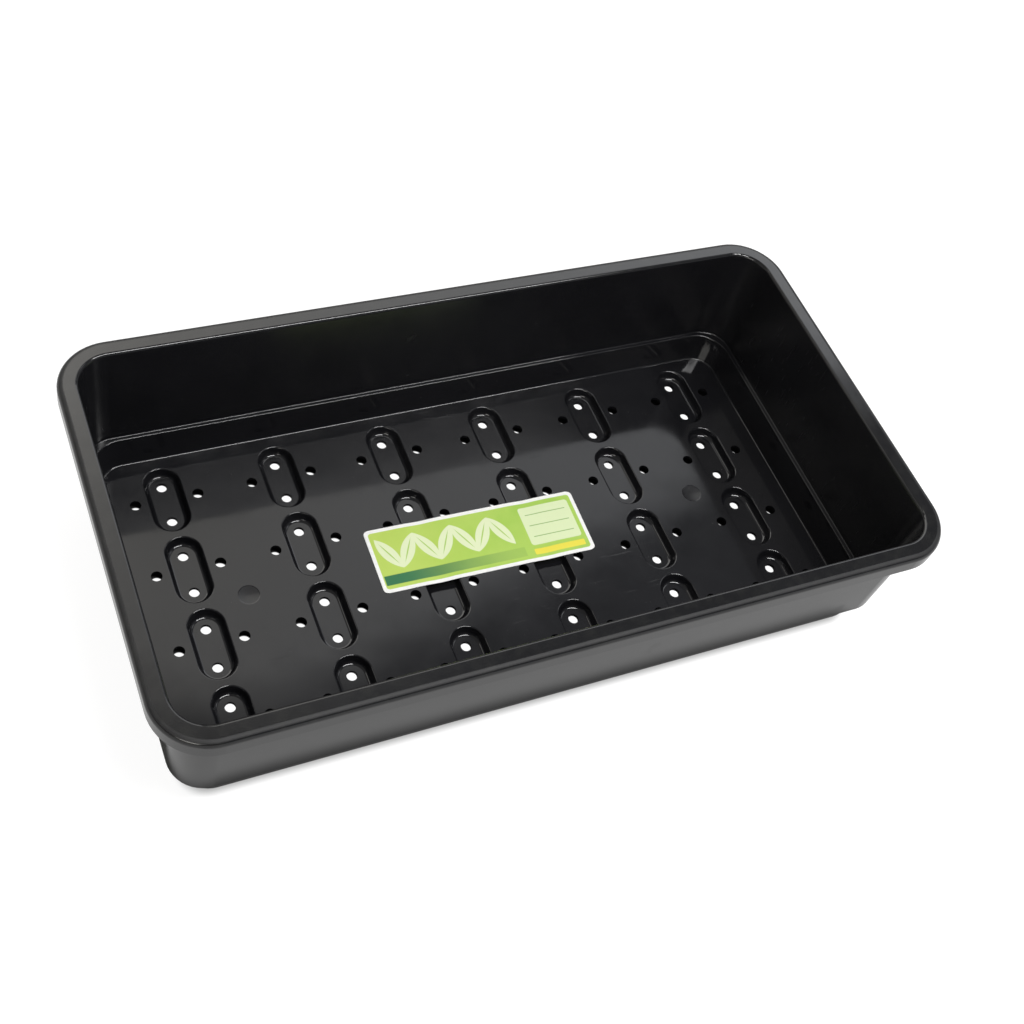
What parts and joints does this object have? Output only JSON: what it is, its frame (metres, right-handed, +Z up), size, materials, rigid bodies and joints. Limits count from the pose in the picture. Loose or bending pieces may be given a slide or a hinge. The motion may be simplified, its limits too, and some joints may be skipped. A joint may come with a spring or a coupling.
{
  "type": "seed tray",
  "caption": "Rigid black seed tray with a turned-down rim, a stepped foot wall, a floor of long drainage wells with drain holes, and a printed label stuck to the floor.",
  "frame": {"origin": "middle of the tray's footprint, on the surface that the tray stands on", "axes": "+X along the tray, +Y across it, +Z up"},
  "size_m": [0.38, 0.206, 0.083],
  "materials": {
    "tray_plastic": "glossy black polypropylene inside, with a finely textured satin rim and outside",
    "label_print": "coated label paper with a white border and a smooth printed face"
  },
  "bodies": {
    "root": {"tray": "tray_plastic", "label": "label_print"}
  },
  "joints": []
}
